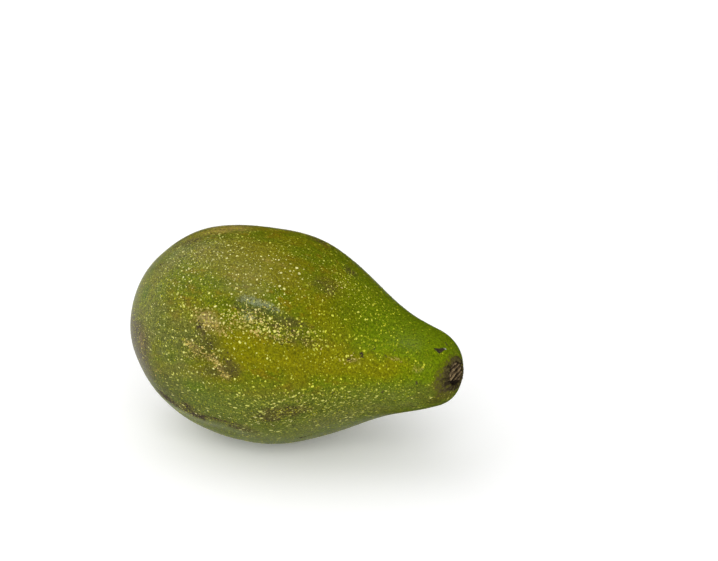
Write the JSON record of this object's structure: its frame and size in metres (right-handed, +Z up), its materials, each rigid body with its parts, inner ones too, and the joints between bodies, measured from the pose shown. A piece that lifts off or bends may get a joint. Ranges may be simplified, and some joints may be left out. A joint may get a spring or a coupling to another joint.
{
  "type": "avocado",
  "caption": "Pear-shaped green avocado lying on its side: smooth dotted skin, slightly bent neck, and the broken woody stalk end left in its pit.",
  "frame": {"origin": "centre of the overall box seen from above, at the height of the surface it lies on", "axes": "+Z up, +X along the fruit toward its stalk end, -Y toward the side seen in the picture"},
  "size_m": [0.1504, 0.0934, 0.0924],
  "materials": {
    "skin": "thin tough fruit skin, soft sheen, olive green with pale dots",
    "stalk_wood": "dry, broken, splintered"
  },
  "bodies": {
    "root": {"fruit": "skin", "stalk_end": "stalk_wood"}
  },
  "joints": []
}
